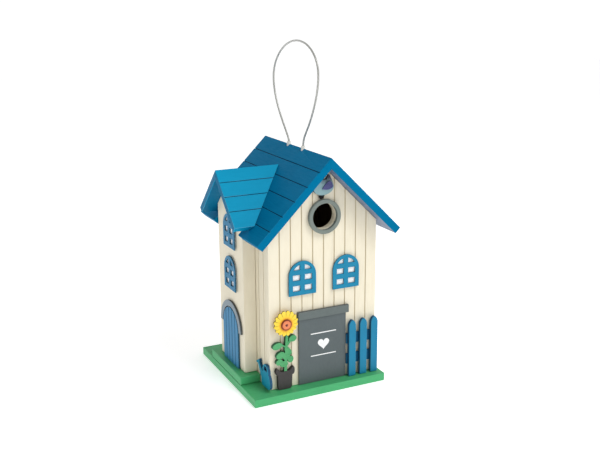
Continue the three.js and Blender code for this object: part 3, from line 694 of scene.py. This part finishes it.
def cross_head_screw(head_radius, length, outward, head_top):
    """A pan-head screw with a cross recess. Its head's top is at head_top and faces outward."""
    shape = bmesh.new()
    bmesh.ops.create_circle(shape, cap_ends=True, segments=32, radius=head_radius)
    # The cross: the disc is cut along the sides and ends of its arms, and the arms are pushed in.
    half_width = 0.17 * head_radius
    arm = 4 * half_width
    for offset in (half_width, arm):
        for normal in (RIGHT, LEFT, REAR, FRONT):
            everything = shape.verts[:] + shape.edges[:] + shape.faces[:]
            bmesh.ops.bisect_plane(shape, geom=everything, plane_co=Vector(normal) * offset,
                                   plane_no=normal)
    recess = []
    for face in shape.faces:
        centre = face.calc_center_median()
        narrow, wide = sorted((abs(centre.x), abs(centre.y)))
        if narrow < half_width and wide < arm:
            recess.append(face)
    outline = [edge for edge in shape.edges if edge.is_boundary]
    pushed = bmesh.ops.extrude_face_region(shape, geom=recess)
    floor = [item for item in pushed["geom"] if isinstance(item, bmesh.types.BMVert)]
    bmesh.ops.translate(shape, verts=floor, vec=(0, 0, -0.55 * SCREW_HEAD_HEIGHT))
    bmesh.ops.delete(shape, geom=recess, context="FACES_ONLY")
    for radius, depth in (
            (head_radius, SCREW_HEAD_HEIGHT), (SCREW_SHANK_RADIUS, SCREW_HEAD_HEIGHT),
            (SCREW_SHANK_RADIUS, length - SCREW_TAPER), (SCREW_POINT_RADIUS, length)):
        grown = bmesh.ops.extrude_edge_only(shape, edges=outline)
        ring_verts = [item for item in grown["geom"] if isinstance(item, bmesh.types.BMVert)]
        outline = [item for item in grown["geom"] if isinstance(item, bmesh.types.BMEdge)]
        outline = [edge for edge in outline if all(vert in ring_verts for vert in edge.verts)]
        for vert in ring_verts:
            reach = math.hypot(vert.co.x, vert.co.y) or 1.0
            vert.co = Vector((vert.co.x / reach * radius, vert.co.y / reach * radius, -depth))
    bmesh.ops.contextual_create(shape, geom=outline)
    bmesh.ops.remove_doubles(shape, verts=shape.verts, dist=SAME_POINT)
    rim = [edge for edge in shape.edges if all(abs(vert.co.z) < 1e-7 for vert in edge.verts)
           and all(math.hypot(vert.co.x, vert.co.y) > 0.97 * head_radius for vert in edge.verts)]
    bmesh.ops.bevel(shape, geom=rim, offset=0.35 * SCREW_HEAD_HEIGHT, offset_type="OFFSET",
                    affect="EDGES", segments=4, profile=0.5, material=-1)
    bmesh.ops.recalc_face_normals(shape, faces=shape.faces)
    turn = Vector((0, 0, 1)).rotation_difference(Vector(outward)).to_matrix()
    bmesh.ops.rotate(shape, verts=shape.verts, cent=(0, 0, 0), matrix=turn)
    bmesh.ops.translate(shape, verts=shape.verts, vec=head_top)
    return shape


make_piece("painted_clean_out_cover", eased("clean_out_cover", 0.0007), [slate_grey],
           ["clean_out_cover"], body="cover")
zinc = zinc_plate()
low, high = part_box("clean_out_pivot_screw")
middle = (low + high) / 2
pivot_screw = cross_head_screw((high.x - low.x) / 2, high.y - low.y, REAR, (middle.x, high.y, middle.z))
make_piece("zinc_pivot_screw", pivot_screw, [zinc], ["clean_out_pivot_screw"],
           smooth_under=40)
for number in (1, 2, 3, 4):
    low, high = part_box(f"base_screw_{number}")
    middle = (low + high) / 2
    base_screw = cross_head_screw((high.x - low.x) / 2, high.z - low.z, (0, 0, -1),
                                  (middle.x, middle.y, low.z))
    make_piece(f"zinc_base_screw_{number}", base_screw, [zinc], [f"base_screw_{number}"],
               smooth_under=40)


# ---- Floor and light ---------------------------------------------------------------------
# A matt white acrylic table lit a little from below, one square softbox in front and to the
# right, and a white studio that is dimmer and has a darker ceiling on the camera's side.

TABLE_GLOW = 0.5
# The table is a hair below the base plate, so that their faces don't share a plane.
TABLE_DROP = 0.0004
table_shape = bmesh.new()
bmesh.ops.create_grid(table_shape, x_segments=1, y_segments=1, size=4.0)
bmesh.ops.translate(table_shape, verts=table_shape.verts, vec=(0, 0, -TABLE_DROP))
table_mesh = bpy.data.meshes.new("white_table")
table_shape.to_mesh(table_mesh)
table_shape.free()
acrylic, acrylic_tree = new_material("lit_white_acrylic_table")
finish_surface(acrylic_tree, add_node(acrylic_tree, "ShaderNodeBsdfPrincipled", {
    "Base Color": linear("f4f4f4"), "Roughness": 0.9, "Emission Color": linear("ffffff"),
    "Emission Strength": TABLE_GLOW}))
table_mesh.materials.append(acrylic)
table = bpy.data.objects.new("white_table", table_mesh)
bpy.context.scene.collection.objects.link(table)

SOFTBOX_WIDTH = 1.0
SOFTBOX_WATTS = 18
SOFTBOX_PLACE = Vector((0.6, -1.0, 1.6))
HOUSE_MIDDLE = Vector((0, 0, 0.12))
softbox = bpy.data.lights.new("front_softbox", "AREA")
softbox.shape = "SQUARE"
softbox.size = SOFTBOX_WIDTH
softbox.energy = SOFTBOX_WATTS
lamp = bpy.data.objects.new("front_softbox", softbox)
lamp.location = SOFTBOX_PLACE
lamp.rotation_euler = (HOUSE_MIDDLE - SOFTBOX_PLACE).to_track_quat("-Z", "Y").to_euler()
bpy.context.scene.collection.objects.link(lamp)

BACKDROP_LIGHT = 1.06
ROOM_LIGHT = 0.42
CEILING_SHARE = 0.55
TO_BACKDROP = (0.43, 0.9, 0)
studio = bpy.data.worlds.new("white_studio")
studio.use_nodes = True
tree = studio.node_tree
tree.nodes.clear()
direction = add_node(tree, "ShaderNodeTexCoord").outputs["Generated"]
backward = add_node(tree, "ShaderNodeVectorMath", {0: direction, 1: TO_BACKDROP}, operation="DOT_PRODUCT")
around = add_node(tree, "ShaderNodeMapRange", {
    "Value": backward.outputs["Value"], "From Min": -0.9, "From Max": 0.6,
    "To Min": ROOM_LIGHT, "To Max": BACKDROP_LIGHT})
upward = add_node(tree, "ShaderNodeSeparateXYZ", {0: direction}).outputs["Z"]
overhead = add_node(tree, "ShaderNodeMapRange", {
    "Value": upward, "From Min": 0.15, "From Max": 0.8, "To Min": 1.0, "To Max": CEILING_SHARE})
room = add_node(tree, "ShaderNodeMath", {0: around.outputs["Result"], 1: overhead.outputs["Result"]},
                operation="MULTIPLY")
# A low white band all round, so that the table has no visible edge from any side.
low_band = add_node(tree, "ShaderNodeMapRange", {
    "Value": upward, "From Min": 0.06, "From Max": 0.22, "To Min": 1.0, "To Max": 0.0})
brightness = add_node(tree, "ShaderNodeMix", {
    0: low_band.outputs["Result"], 2: room.outputs[0], 3: BACKDROP_LIGHT}, data_type="FLOAT")
walls = add_node(tree, "ShaderNodeBackground", {
    "Color": (1, 1, 1, 1), "Strength": brightness.outputs[0]})
add_node(tree, "ShaderNodeOutputWorld", {"Surface": walls.outputs["Background"]})
bpy.context.scene.world = studio
bpy.context.scene.view_settings.view_transform = "Standard"
